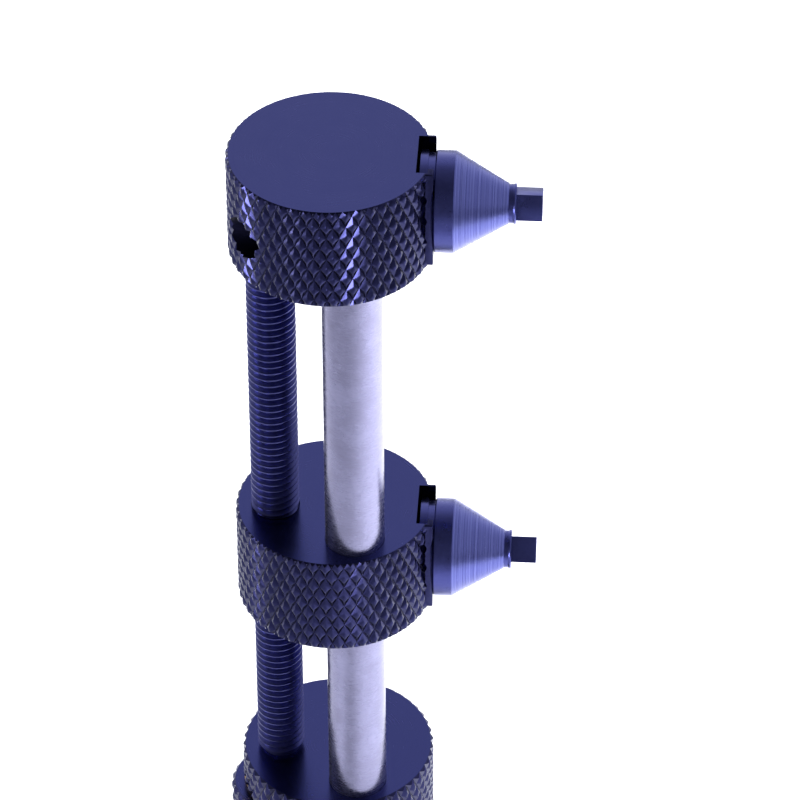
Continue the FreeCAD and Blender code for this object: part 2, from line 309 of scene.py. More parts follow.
# Polished bearing steel: bright and nearly mirror-smooth.
BEARING_STEEL = Finish("bearing_steel", "#c4c4cc", "#dcdce0", 0.12, bump=0.0000003)
# Drawn spring wire: grey steel with the die's faint grain.
SPRING_STEEL = Finish("spring_wire", "#77777f", "#9a9aa2", 0.3, bump=0.000001)
# Rolled brass sheet: yellow and satin.
ROLLED_BRASS = Finish("rolled_brass", "#a8873c", "#c8a85c", 0.3, bump=0.000001)


# Solids

Profile = Sequence[tuple[float, float]]
Place = tuple[float, float, float]


class Solid:
    """A closed mesh in millimetres that can be cut, joined and trimmed."""

    def __init__(self, mesh: Mesh) -> None:
        """Wraps a mesh, which the solid then owns."""
        self.mesh = mesh

    @classmethod
    def from_bmesh(cls, shape: BMesh) -> Solid:
        """Takes a finished bmesh, with its normals turned outwards."""
        bmesh.ops.recalc_face_normals(shape, faces=shape.faces)
        mesh = bpy.data.meshes.new("solid")
        shape.to_mesh(mesh)
        shape.free()
        return cls(mesh)

    @classmethod
    def turned(cls, profile: Profile, segments: int = ROUND_SEGMENTS) -> Solid:
        """Turns a closed half section about Z.

        Args:
            profile: Corners as (radius, height). A radius of zero lies on the axis.
            segments: Facets round the axis.

        Returns:
            The turned solid.
        """
        shape = bmesh.new()
        rings = []
        for radius, height in profile:
            if radius < 1e-9:
                rings.append([shape.verts.new((0, 0, height))])
                continue
            angles = [2 * math.pi * i / segments for i in range(segments)]
            rings.append(
                [shape.verts.new((radius * math.cos(a), radius * math.sin(a), height)) for a in angles]
            )
        for low, high in zip(rings, rings[1:] + rings[:1]):
            if len(low) == 1 and len(high) == 1:
                continue
            for i in range(segments):
                j = (i + 1) % segments
                corners = [low[i % len(low)], low[j % len(low)], high[j % len(high)], high[i % len(high)]]
                shape.faces.new(list(dict.fromkeys(corners)))
        return cls.from_bmesh(shape)

    @classmethod
    def block(cls, low: Sequence[float], high: Sequence[float]) -> Solid:
        """A box between two corners."""
        shape = bmesh.new()
        bmesh.ops.create_cube(shape, size=1.0)
        size = [b - a for a, b in zip(low, high)]
        middle = [(a + b) / 2 for a, b in zip(low, high)]
        bmesh.ops.scale(shape, vec=size, verts=shape.verts)
        bmesh.ops.translate(shape, vec=middle, verts=shape.verts)
        return cls.from_bmesh(shape)

    @classmethod
    def barrel(
        cls,
        radius: float,
        low: float,
        high: float,
        face: float,
        drop: float,
        bore: float = 0.0,
        segments: int = ROUND_SEGMENTS,
    ) -> Solid:
        """Turns a barrel about Z that is bevelled at both ends.

        Args:
            radius: Its widest radius.
            low: Height of its foot.
            high: Height of its top.
            face: Radius of its flat ends.
            drop: Height of each bevel.
            bore: Radius of the hole through it.
            segments: Facets round the axis.

        Returns:
            The barrel.
        """
        side = [(face, low), (radius, low + drop), (radius, high - drop), (face, high)]
        return cls.turned([(bore, low), *side, (bore, high)], segments)

    @classmethod
    def drill(cls, radius: float, length: float, segments: int = ROUND_SEGMENTS // 2) -> Solid:
        """A cylinder from the origin along +Z."""
        return cls.turned([(0, 0), (radius, 0), (radius, length), (0, length)], segments)

    @classmethod
    def capped(cls, mesh: Mesh) -> Solid:
        """Closes the open ends of a tube-shaped mesh with fans about the Z axis."""
        shape = bmesh.new()
        shape.from_mesh(mesh)
        bmesh.ops.remove_doubles(shape, verts=shape.verts, dist=1e-4)
        rims = [e for e in shape.edges if e.is_boundary]
        middle = sum(v.co.z for v in shape.verts) / len(shape.verts)
        for upper in (False, True):
            ends = [e for e in rims if (sum(v.co.z for v in e.verts) / 2 > middle) == upper]
            height = sum(e.verts[0].co.z for e in ends) / len(ends)
            hub = shape.verts.new((0, 0, height))
            for edge in ends:
                shape.faces.new((*edge.verts, hub))
        return cls.from_bmesh(shape)

    def moved(self, x: float = 0.0, y: float = 0.0, z: float = 0.0) -> Solid:
        """Moves the solid and returns it."""
        self.mesh.transform(Matrix.Translation((x, y, z)))
        return self

    def rotated(self, degrees: float, axis: str) -> Solid:
        """Turns the solid about an axis through the origin and returns it."""
        self.mesh.transform(Matrix.Rotation(math.radians(degrees), 4, axis))
        return self

    def _combined(self, other: Solid, operation: str) -> Solid:
        """Runs one exact boolean and keeps its result as this solid's mesh."""
        objects = [bpy.data.objects.new("work", s.mesh) for s in (self, other)]
        for made in objects:
            bpy.context.scene.collection.objects.link(made)
        step = objects[0].modifiers.new("step", "BOOLEAN")
        step.operation = operation
        step.solver = "EXACT"
        step.object = objects[1]
        graph = bpy.context.evaluated_depsgraph_get()
        result = bpy.data.meshes.new_from_object(objects[0].evaluated_get(graph))
        for made in objects:
            bpy.data.objects.remove(made)
        self.mesh = result
        self.tidy()
        return self

    def tidy(self) -> None:
        """Merges slivers and leaves only triangles, which the next boolean needs flat."""
        shape = bmesh.new()
        shape.from_mesh(self.mesh)
        bmesh.ops.remove_doubles(shape, verts=shape.verts, dist=MERGE)
        bmesh.ops.dissolve_degenerate(shape, dist=MERGE, edges=shape.edges)
        bmesh.ops.triangulate(shape, faces=shape.faces)
        shape.to_mesh(self.mesh)
        shape.free()

    def cut(self, other: Solid) -> Solid:
        """Takes the other solid away."""
        return self._combined(other, "DIFFERENCE")

    def join(self, other: Solid) -> Solid:
        """Adds the other solid."""
        return self._combined(other, "UNION")

    def within(self, other: Solid) -> Solid:
        """Keeps only what lies inside the other solid."""
        return self._combined(other, "INTERSECT")

    def rounded(self, width: float, sharper_than: float = 30.0) -> Solid:
        """Breaks every edge sharper than an angle in degrees with a narrow round."""
        shape = bmesh.new()
        shape.from_mesh(self.mesh)
        flat, sharp = math.radians(0.5), math.radians(sharper_than)
        bmesh.ops.dissolve_limit(shape, angle_limit=flat, verts=shape.verts, edges=shape.edges)
        edges = [e for e in shape.edges if len(e.link_faces) == 2 and e.calc_face_angle(0.0) > sharp]
        style = {"segments": 2, "profile": 0.5, "affect": "EDGES", "clamp_overlap": True}
        bmesh.ops.bevel(shape, geom=edges, offset=width, **style)
        return Solid.from_bmesh(shape)


@dataclass
class Piece:
    """A finished mesh on its way to its body.

    Attributes:
        node: The CAD node that it stands for.
        suffix: What its name adds to the node's.
        solid: The mesh, in millimetres in the row frame.
        body: The body that it rides on.
        slot: Its slot in the record.
        finishes: Its finishes, the main one first.
        pick: Chooses a face's finish from its centre and normal, by index.
        smooth_below: Edges flatter than this many degrees are shaded smooth.
    """

    node: str
    suffix: str
    solid: Solid
    body: Body
    slot: Slot
    finishes: Sequence[Finish]
    pick: Callable[[Vector, Vector], int] | None = None
    smooth_below: float = 28.0

    def place(self) -> Object:
        """Scales the mesh to metres, dresses it, hangs it on its body and returns it."""
        mesh, name = self.solid.mesh, f"{self.node}_{self.suffix}"
        mesh.name = name
        mesh.materials.clear()
        for finish in self.finishes:
            mesh.materials.append(finish.material())
        for face in mesh.polygons:
            face.material_index = self.pick(face.center, face.normal) if self.pick else 0
            face.use_smooth = True
        mesh.set_sharp_from_angle(angle=math.radians(self.smooth_below))
        mesh.transform(Matrix.Scale(METRES, 4))
        made = bpy.data.objects.new(name, mesh)
        bpy.context.scene.collection.objects.link(made)
        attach(made, self.body.value)
        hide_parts(self.node)
        log.info("%s: %d faces on %s", name, len(mesh.polygons), self.body.value)
        return made


# Patterns made by Geometry Nodes


class PatternTree:
    """A Geometry Nodes tree with named sizes that is run once and left as a plain mesh."""

    def __init__(self, name: str) -> None:
        """Starts an empty tree with a group input."""
        self.tree = bpy.data.node_groups.new(name, "GeometryNodeTree")
        self._inputs = add_node(self.tree, "NodeGroupInput")
        self._identifiers: dict[str, str] = {}

    def size(self, name: str, whole: bool = False) -> NodeSocket:
        """Adds a named size to the tree and returns its socket."""
        kind = "NodeSocketInt" if whole else "NodeSocketFloat"
        item = self.tree.interface.new_socket(name=name, in_out="INPUT", socket_type=kind)
        self._identifiers[name] = item.identifier
        return self._inputs.outputs[name]

    def wrapped(self, angle: object, radius: object, height: object) -> Node:
        """A place about the Z axis from its angle, radius and height."""
        tree = self.tree
        cosine = add_node(tree, MATH, (angle,), operation="COSINE")
        sine = add_node(tree, MATH, (angle,), operation="SINE")
        across = add_node(tree, MATH, (radius, cosine), operation="MULTIPLY")
        along = add_node(tree, MATH, (radius, sine), operation="MULTIPLY")
        return add_node(tree, "ShaderNodeCombineXYZ", (across, along, height))

    def mesh(self, geometry: Node, finish: Material, values: dict[str, float]) -> Mesh:
        """Ends the tree, runs it with its sizes and returns what it makes.

        Args:
            geometry: The last node of the pattern.
            finish: The material that the tree sets.
            values: Each named size's value.

        Returns:
            A plain mesh, in the tree's own units.
        """
        self.tree.interface.new_socket(name="Geometry", in_out="OUTPUT", socket_type="NodeSocketGeometry")
        real = add_node(self.tree, "GeometryNodeRealizeInstances", (geometry,))
        dressed = add_node(self.tree, "GeometryNodeSetMaterial", {"Geometry": real, "Material": finish})
        add_node(self.tree, "NodeGroupOutput", (dressed,))
        carrier = bpy.data.objects.new("pattern", bpy.data.meshes.new("pattern"))
        bpy.context.scene.collection.objects.link(carrier)
        pattern = carrier.modifiers.new("pattern", "NODES")
        pattern.node_group = self.tree
        for name, value in values.items():
            pattern[self._identifiers[name]] = value
        graph = bpy.context.evaluated_depsgraph_get()
        made = bpy.data.meshes.new_from_object(carrier.evaluated_get(graph))
        bpy.data.objects.remove(carrier)
        return made


@dataclass
class DiamondKnurl:
    """Raised diamonds round a bar, as two crossed sets of helical grooves leave them.

    Attributes:
        crest: Radius over the diamonds.
        depth: Height of a diamond.
        starts: Diamonds round the bar.
        cell_height: Length of a diamond along the bar.
        shoulder: Width of a diamond where its flanks turn in to its crown, as a share.
        shoulder_rise: How high up the diamond that is, as a share.
        land: Width of the flat on its crown, as a share.
    """

    crest: float = 10.1
    depth: float = 0.3
    starts: int = 49
    cell_height: float = 2.5
    shoulder: float = 0.42
    shoulder_rise: float = 0.82
    land: float = 0.2

    def bar(self, height: float, finish: Material) -> Solid:
        """Knurls a bar that stands from just below zero to just above a height.

        Args:
            height: The length to cover.
            finish: The material for the bar.

        Returns:
            The closed bar, longer than the height at both ends.
        """
        # Five spare rows keep the caps clear of the trimmed part.
        rows = math.ceil(height / (self.cell_height / 2)) + 5
        values = {
            "Valley Radius": self.crest - self.depth,
            "Depth": self.depth,
            "Starts": self.starts,
            "Rows": rows,
            "Row Height": self.cell_height / 2,
            "Shoulder": self.shoulder,
            "Shoulder Rise": self.shoulder_rise,
            "Land": self.land / self.shoulder,
            "Base": (height - (rows - 1) * self.cell_height / 2) / 2,
        }
        grown = PatternTree("diamond_knurl")
        starts = grown.size("Starts", True)
        curled = self.curled(grown, self.spread(grown, starts), starts)
        return Solid.capped(grown.mesh(curled, finish, values))

    @staticmethod
    def spread(grown: PatternTree, starts: NodeSocket) -> Node:
        """Adds the part of the tree that lays crowned diamonds in staggered rows on a plane.

        Args:
            grown: The tree.
            starts: How many diamonds go round.

        Returns:
            The diamonds, with X across in half diamonds, Y in rows and Z from 0 to 1.
        """
        tree = grown.tree
        rows = grown.size("Rows", True)
        index = add_node(tree, "GeometryNodeInputIndex")
        column = add_node(tree, MATH, (index, starts), operation="MODULO")
        share = add_node(tree, MATH, (index, starts), operation="DIVIDE")
        row = add_node(tree, MATH, (share,), operation="FLOOR")
        stagger = add_node(tree, MATH, (row, 2.0), operation="MODULO")
        across = add_node(tree, MATH, (column, 2.0, stagger), operation="MULTIPLY_ADD")
        place = add_node(tree, "ShaderNodeCombineXYZ", (across, row, 0.0))
        count = add_node(tree, MATH, (starts, rows), operation="MULTIPLY")
        centres = add_node(tree, "GeometryNodePoints", {"Count": count, "Position": place})
        corners = {"Vertices": 4, "Radius": 1.0}
        outline = add_node(tree, "GeometryNodeMeshCircle", corners, fill_type="NGON")
        rise = grown.size("Shoulder Rise")
        flanks = add_node(tree, "GeometryNodeExtrudeMesh", {"Mesh": outline, "Offset Scale": rise})
        top = flanks.outputs["Top"]
        narrowed = {"Geometry": flanks, "Selection": top, "Scale": grown.size("Shoulder")}
        tapered = add_node(tree, "GeometryNodeScaleElements", narrowed)
        rest = add_node(tree, MATH, (1.0, rise), operation="SUBTRACT")
        lifted = {"Mesh": tapered, "Selection": top, "Offset Scale": rest}
        crown = add_node(tree, "GeometryNodeExtrudeMesh", lifted)
        flat = {"Geometry": crown, "Selection": crown.outputs["Top"], "Scale": grown.size("Land")}
        diamond = add_node(tree, "GeometryNodeScaleElements", flat)
        spread = add_node(tree, "GeometryNodeInstanceOnPoints", {"Points": centres, "Instance": diamond})
        return add_node(tree, "GeometryNodeRealizeInstances", (spread,))

    @staticmethod
    def curled(grown: PatternTree, flat: Node, starts: NodeSocket) -> Node:
        """Adds the part of the tree that rolls the plane of diamonds into a bar.

        Args:
            grown: The tree.
            flat: The diamonds on their plane.
            starts: How many diamonds go round.

        Returns:
            The diamonds round the Z axis.
        """
        tree = grown.tree
        point = add_node(tree, "ShaderNodeSeparateXYZ", (add_node(tree, "GeometryNodeInputPosition"),))
        swept = add_node(tree, MATH, (point, math.pi), operation="MULTIPLY")
        angle = add_node(tree, MATH, (swept, starts), operation="DIVIDE")
        outward = (point.outputs["Z"], grown.size("Depth"), grown.size("Valley Radius"))
        radius = add_node(tree, MATH, outward, operation="MULTIPLY_ADD")
        upward = (point.outputs["Y"], grown.size("Row Height"), grown.size("Base"))
        level = add_node(tree, MATH, upward, operation="MULTIPLY_ADD")
        rolled = grown.wrapped(angle, radius, level)
        return add_node(tree, "GeometryNodeSetPosition", {"Geometry": flat, "Position": rolled})


@dataclass
class RolledThread:
    """A right-hand metric thread: flat crests and roots, and flanks at sixty degrees.

    Attributes:
        major: Crest radius.
        pitch: Advance in one turn.
        flank_height: Radial height from root to crest.
    """

    major: float = 2.45
    pitch: float = 0.8
    flank_height: float = 0.46

    def bar(self, low: float, high: float, finish: Material) -> Solid:
        """Threads a bar that runs past both heights.

        Args:
            low: Where the trimmed thread will start.
            high: Where it will end.
            finish: The material for the bar.

        Returns:
            The closed bar, longer than asked for at both ends.
        """
        # Two spare turns at each end keep the caps clear of the trimmed part.
        turns = math.ceil((high - low) / self.pitch) + 4
        values = {
            "Root Radius": self.major - self.flank_height,
            "Flank Height": self.flank_height,
            "Pitch": self.pitch,
            "Corners": turns * 4,
            "Base": low - 2.5 * self.pitch,
        }
        grown = PatternTree("rolled_thread")
        return Solid.capped(grown.mesh(self.wound(grown), finish, values))

    @staticmethod
    def wound(grown: PatternTree) -> Node:
        """Adds the sheet whose rows follow the helix, four rows to a turn, rolled up.

        Args:
            grown: The tree.

        Returns:
            The thread round the Z axis, open at both ends.
        """
        tree, corners = grown.tree, grown.size("Corners", True)
        rows = add_node(tree, MATH, (corners, 1.0), operation="ADD")
        spread = {"Size X": 1.0, "Size Y": corners, "Vertices X": FINE_SEGMENTS + 1, "Vertices Y": rows}
        sheet = add_node(tree, "GeometryNodeMeshGrid", spread)
        point = add_node(tree, "ShaderNodeSeparateXYZ", (add_node(tree, "GeometryNodeInputPosition"),))
        turn = add_node(tree, MATH, (point, 0.5), operation="ADD")
        raised = add_node(tree, MATH, (corners, 0.5, point.outputs["Y"]), operation="MULTIPLY_ADD")
        row = add_node(tree, MATH, (raised,), operation="ROUND")
        phase = add_node(tree, MATH, (row, 4.0), operation="MODULO")
        off_crest = add_node(tree, MATH, (phase, 1.5), operation="SUBTRACT")
        near = add_node(tree, MATH, (off_crest,), operation="ABSOLUTE")
        crest = add_node(tree, MATH, (near, 1.0), operation="LESS_THAN")
        # Crest flats are an eighth of the pitch and root flats a quarter of it.
        lean = add_node(tree, MATH, (off_crest, -0.125), operation="MULTIPLY")
        shift = add_node(tree, MATH, (lean, crest), operation="MULTIPLY")
        climb = add_node(tree, MATH, (row, 0.25, shift), operation="MULTIPLY_ADD")
        pitches = add_node(tree, MATH, (climb, turn), operation="ADD")
        upward = (pitches, grown.size("Pitch"), grown.size("Base"))
        level = add_node(tree, MATH, upward, operation="MULTIPLY_ADD")
        outward = (crest, grown.size("Flank Height"), grown.size("Root Radius"))
        radius = add_node(tree, MATH, outward, operation="MULTIPLY_ADD")
        angle = add_node(tree, MATH, (turn, math.tau), operation="MULTIPLY")
        rolled = grown.wrapped(angle, radius, level)
        return add_node(tree, "GeometryNodeSetPosition", {"Geometry": sheet, "Position": rolled})


@dataclass
class CoilSpring:
    """A compression spring of round wire.

    Attributes:
        mean_radius: Radius of the wire's centreline.
        wire_radius: Radius of the wire.
        turns: Coils.
    """

    mean_radius: float = 0.7
    wire_radius: float = 0.13
    turns: float = 5.0

    def along_x(self, low: float, high: float, finish: Material) -> Solid:
        """Winds the spring along X between two places.

        Args:
            low: Where the wire starts.
            high: Where it ends.
            finish: The material for the wire.

        Returns:
            The wire as a closed tube, its axis through the origin.
        """
        grown = PatternTree("coil_spring")
        values = {
            "Start Radius": self.mean_radius,
            "End Radius": self.mean_radius,
            "Rotations": self.turns,
            "Height": high - low - 2 * self.wire_radius,
        }
        coils = {name: grown.size(name) for name in values}
        helix = add_node(grown.tree, "GeometryNodeCurveSpiral", {"Resolution": 24, **coils})
        values["Wire Radius"] = self.wire_radius
        wire = {"Resolution": 10, "Radius": grown.size("Wire Radius")}
        section = add_node(grown.tree, "GeometryNodeCurvePrimitiveCircle", wire)
        swept = {"Curve": helix, "Profile Curve": section, "Fill Caps": True}
        tube = add_node(grown.tree, "GeometryNodeCurveToMesh", swept)
        wound = Solid(grown.mesh(tube, finish, values))
        return wound.moved(z=self.wire_radius).rotated(90, "Y").moved(x=low)


# The tool's sub-assemblies


@dataclass
class NodeBox:
    """Where a CAD node lies, in millimetres."""

    low: Vector
    high: Vector

    @classmethod
    def of(cls, node: str) -> NodeBox:
        """Reads a node's box from the frame."""
        low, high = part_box(node)
        return cls(low / METRES, high / METRES)

    @property
    def middle(self) -> Vector:
        """The box's centre."""
        return (self.low + self.high) / 2


@dataclass
class Rods:
    """The guide rod and the lead screw that pass through the heads.

    Attributes:
        guide: The guide rod's box.
        screw: The lead screw's box.
        journal: Radius of the screw's plain ends.
        bore_play: Gap between a rod and its hole.
        shoulder_gap: Gap between the thread's end and the head it stops at.
        thread_bevel: Bevel on the thread's ends.
        guide_bevel: Chamfer on the guide rod's ends.
    """

    guide: NodeBox = field(default_factory=lambda: NodeBox.of("guide_rod"))
    screw: NodeBox = field(default_factory=lambda: NodeBox.of("lead_screw"))
    journal: float = 2.0
    bore_play: float = 0.03
    shoulder_gap: float = 0.3
    thread_bevel: float = 0.45
    guide_bevel: float = 0.3

    @property
    def guide_radius(self) -> float:
        """Radius of the guide rod."""
        return (self.guide.high.x - self.guide.low.x) / 2

    @property
    def screw_radius(self) -> float:
        """Crest radius of the screw."""
        return (self.screw.high.x - self.screw.low.x) / 2

    def bore(self, which: NodeBox, radius: float, low: float, high: float) -> Solid:
        """A cutter for one rod's hole between two heights."""
        place = which.middle
        return Solid.drill(radius + self.bore_play, high - low).moved(place.x, place.y, low)

    def build(self) -> None:
        """Makes the guide rod and the lead screw."""
        place, radius = self.guide.middle, self.guide_radius
        low, high, bevel = self.guide.low.z, self.guide.high.z, self.guide_bevel
        rod = Solid.barrel(radius, low, high, radius - bevel, bevel).moved(place.x, place.y)
        Piece("guide_rod", "ground", rod, Body.FRAME, Slot.GROUND, [GROUND_STEEL]).place()
        self.build_screw()

    def build_screw(self) -> None:
        """Makes the lead screw: a threaded bar trimmed to its shoulders and journals."""
        place, low, high = self.screw.middle, self.screw.low.z, self.screw.high.z
        start = NodeBox.of("end_block").high.z + self.shoulder_gap
        end = NodeBox.of("fixed_head").low.z - self.shoulder_gap
        slim, bevel = self.journal, self.thread_bevel
        wide = self.screw_radius + THREAD_MARGIN
        outline = Solid.barrel(wide, start, end, slim, bevel, segments=FINE_SEGMENTS * 2)
        screw = RolledThread(self.screw_radius).bar(start, end, THREAD_BLACK.material()).within(outline)
        for bottom, top in ((low, start + bevel), (end - bevel, high)):
            screw.join(Solid.drill(slim, top - bottom, FINE_SEGMENTS).moved(z=bottom))
        screw.moved(place.x, place.y)
        Piece("lead_screw", "threaded", screw, Body.SCREW, Slot.THREAD, [THREAD_BLACK]).place()


@dataclass
class KnurledBlock:
    """A disc of the tool: knurled round its rim and faced at both ends.

    Attributes:
        node: The CAD node that it stands for.
        body: The body that it rides on.
        face_radius: Radius of the flat ends, inside the chamfer.
        chamfer_drop: Height of the chamfer.
        blank_margin: How far the trimming outline stands clear of the knurl.
        wall: How far inside the grooves' roots the wall of a hole or slot starts to take the painted
            shade.
        knurl: The pattern round the rim.
        face_finish: The finish of the flat ends.
        axis: Where its axis stands.
    """

    node: str
    body: Body
    face_radius: float = 9.8
    chamfer_drop: float = 0.25
    blank_margin: float = 0.6
    wall: float = 0.15
    knurl: DiamondKnurl = field(default_factory=DiamondKnurl)
    face_finish: Finish = FACED_BLACK
    axis: tuple[float, float] = (0.0, 0.0)

    def blank(self, low: float, high: float) -> Solid:
        """The turned outline that trims the knurled bar and gives both chamfers."""
        wide = self.knurl.crest + self.blank_margin
        slope = self.chamfer_drop * (wide - self.face_radius) / (self.knurl.crest - self.face_radius)
        return Solid.barrel(wide, low, high, self.face_radius, slope)

    def knurled(self) -> Solid:
        """The knurled and chamfered block, with nothing cut in it yet."""
        box = NodeBox.of(self.node)
        low, high = box.low.z, box.high.z
        bar = self.knurl.bar(high - low, KNURLED_BLACK.material()).moved(z=low)
        return bar.within(self.blank(low, high))

    def place(self, solid: Solid) -> None:
        """Dresses the block: satin ends, glossier knurl and painted shade in holes and slots."""
        low, high = NodeBox.of(self.node).low.z, NodeBox.of(self.node).high.z
        inner = self.knurl.crest - self.knurl.depth - self.wall

        def pick(centre: Vector, normal: Vector) -> int:
            """Gives an end face 1, the inside of a hole or slot 2, which is painted shade, and the rim 0.
            """
            if min(abs(centre.z - low), abs(centre.z - high)) < ON_FACE and abs(normal.z) > LEVEL:
                return 1
            out = Vector((centre.x - self.axis[0], centre.y - self.axis[1]))
            near_end = min(centre.z - low, high - centre.z) < self.chamfer_drop
            return 2 if out.length < inner and not near_end else 0

        # The third finish is painted shade for the inside of holes and slots.
        finishes = [KNURLED_BLACK, self.face_finish, BORE_PAINTED_SHADE]
        Piece(self.node, "knurled", solid, self.body, Slot.KNURL, finishes, pick).place()


@dataclass
class BitSlot:
    """The undercut slot for a bit, open at the top of a head and at its rim.

    Attributes:
        wall: Distance of its inner wall from the head's axis.
        lip: Distance of the lips' inner faces.
        face: Distance of the rib's flat face.
        width: Width behind the lips.
        mouth: Width between the lips.
        depth: Depth below the head's top.
        rib_width: Width of the rib that carries the lips.
        rib_root: Where the rib starts, inside the head.
        rib_drop: How far the rib stops below the head's top.
        rib_edge: Round on the rib's edges.
        rib_foot: How far it stops above the head's underside.
        axis_drop: How far the bit's axis lies below the head's top.
        detent_radius: Radius of the bore behind the bit.
        detent_depth: Depth of that bore.
        lead_in: How far down the far lip is cut away, so that a bit drops in.
    """

    wall: float = 8.45
    lip: float = 9.58
    face: float = 10.15
    width: float = 6.0
    mouth: float = 4.6
    depth: float = 10.65
    rib_width: float = 6.6
    rib_root: float = 8.0
    rib_drop: float = 0.04
    rib_edge: float = 0.12
    rib_foot: float = 0.4
    axis_drop: float = 5.55
    detent_radius: float = 1.0
    detent_depth: float = 4.5
    lead_in: float = 2.4

    def cut_into(self, head: Solid, low: float, top: float) -> Solid:
        """Adds the rib to a head and cuts the slot.

        Args:
            head: The knurled head.
            low: Height of its underside.
            top: Height of its top.

        Returns:
            The head.
        """
        half_rib, half_slot, half_mouth = self.rib_width / 2, self.width / 2, self.mouth / 2
        floor, above = top - self.depth, top + PAST
        behind, clear = self.lip - OVERLAP, self.face + PAST
        foot, head_of_rib = low + self.rib_foot, top - self.rib_drop
        rib = Solid.block((self.rib_root, -half_rib, foot), (self.face, half_rib, head_of_rib))
        head.join(rib.rounded(self.rib_edge))
        for near, far in (
            ((self.wall, -half_slot, floor), (self.lip, half_slot, above)),
            ((behind, -half_mouth, floor), (clear, half_mouth, above)),
            ((behind, half_mouth - OVERLAP, top - self.lead_in), (clear, half_slot, above)),
        ):
            head.cut(Solid.block(near, far))
        bore = Solid.drill(self.detent_radius, self.detent_depth + PAST, FINE_SEGMENTS)
        bore.rotated(90, "Y").moved(self.wall - self.detent_depth, 0, top - self.axis_drop)
        return head.cut(bore)


@dataclass
class Heads:
    """The fixed head, the sliding head and the end block, with what is cut in them.

    Attributes:
        rods: The rods that pass through them.
        slot: The slot for a bit.
        grub_hole: Radius of a set screw's hole.
        washer_gap: Gap between a thrust washer and its wall.
        wheel_gap: Gap between the wheel and the wall round it.
    """

    rods: Rods
    slot: BitSlot = field(default_factory=BitSlot)
    grub_hole: float = 2.0
    washer_gap: float = 0.05
    wheel_gap: float = 0.4

    def build(self) -> None:
        """Makes the three knurled blocks."""
        self.build_fixed()
        self.build_sliding()
        self.build_end()

    def build_fixed(self) -> None:
        """The top head: blind bores from below and a set screw hole from the side."""
        block = KnurledBlock("fixed_head", Body.FRAME)
        box, rods = NodeBox.of("fixed_head"), self.rods
        head = self.slot.cut_into(block.knurled(), box.low.z, box.high.z)
        below = box.low.z - PAST
        head.cut(rods.bore(rods.guide, rods.guide_radius, below, rods.guide.high.z))
        head.cut(rods.bore(rods.screw, rods.journal, below, rods.screw.high.z))
        grub = NodeBox.of("head_grub_screw")
        length = rods.guide.middle.x - box.low.x
        hole = Solid.drill(self.grub_hole, length + PAST, FINE_SEGMENTS)
        hole.rotated(90, "Y").moved(box.low.x - PAST, grub.middle.y, grub.middle.z)
        block.place(head.cut(hole))

    def build_sliding(self) -> None:
        """The middle head: reamed and tapped right through."""
        block = KnurledBlock("sliding_head", Body.SLIDER)
        box, rods = NodeBox.of("sliding_head"), self.rods
        head = self.slot.cut_into(block.knurled(), box.low.z, box.high.z)
        low, high = box.low.z - PAST, box.high.z + PAST
        head.cut(rods.bore(rods.guide, rods.guide_radius, low, high))
        head.cut(rods.bore(rods.screw, rods.screw_radius, low, high))
        block.place(head)

    def build_end(self) -> None:
        """The end block: rod seats, the adjusting wheel's slot and a set screw hole behind."""
        block = KnurledBlock("end_block", Body.FRAME)
        box, rods = NodeBox.of("end_block"), self.rods
        above = box.high.z + PAST
        solid = block.knurled()
        solid.cut(rods.bore(rods.guide, rods.guide_radius, rods.guide.low.z, above))
        solid.cut(rods.bore(rods.screw, rods.journal, rods.screw.low.z, above))
        wheel = NodeBox.of("adjusting_wheel")
        low = NodeBox.of("lower_thrust_washer").low.z - self.washer_gap
        high = NodeBox.of("upper_thrust_washer").high.z + self.washer_gap
        radius = (wheel.high.x - wheel.low.x) / 2 + self.wheel_gap
        room = Solid.drill(radius, high - low, ROUND_SEGMENTS)
        solid.cut(room.moved(wheel.middle.x, wheel.middle.y, low))
        near = (box.low.x - PAST, wheel.middle.y - radius, low)
        solid.cut(Solid.block(near, (wheel.middle.x, wheel.middle.y + radius, high)))
        grub = NodeBox.of("end_block_grub_screw")
        length = box.high.y - grub.low.y + PAST
        hole = Solid.drill(self.grub_hole, length, FINE_SEGMENTS).rotated(-90, "X")
        solid.cut(hole.moved(grub.middle.x, grub.low.y, grub.middle.z))
        block.place(solid)


@dataclass
class AdjustingWheel:
    """The small knurled wheel that turns the lead screw.

    Attributes:
        rods: The rods, for the screw's end that it sits on.
        face_radius: Radius of the flat ends, inside the chamfer.
        chamfer_drop: Height of the chamfer.
        grub_hole: Radius of its set screw's hole.
        play: Gap between the wheel and the screw's end.
        knurl: The pattern round its rim.
    """

    rods: Rods
    face_radius: float = 5.0
    chamfer_drop: float = 0.4
    grub_hole: float = 1.25
    play: float = 0.01
    knurl: DiamondKnurl = field(
        default_factory=lambda: DiamondKnurl(crest=5.4, depth=0.32, starts=27, cell_height=2.4)
    )

    def build(self) -> None:
        """Makes the wheel."""
        box = NodeBox.of("adjusting_wheel")
        block = KnurledBlock("adjusting_wheel", Body.SCREW, self.face_radius, self.chamfer_drop)
        block.knurl, block.face_finish, block.axis = self.knurl, WHEEL_BLACK, tuple(box.middle.xy)
        wheel = block.knurled()
        length = box.high.z - box.low.z + 2 * PAST
        wheel.cut(Solid.drill(self.rods.journal + self.play, length).moved(z=box.low.z - PAST))
        hole = Solid.drill(self.grub_hole, self.knurl.crest + PAST, FINE_SEGMENTS)
        wheel.cut(hole.rotated(-90, "Y").moved(z=box.middle.z))
        block.place(wheel.moved(box.middle.x, box.middle.y))


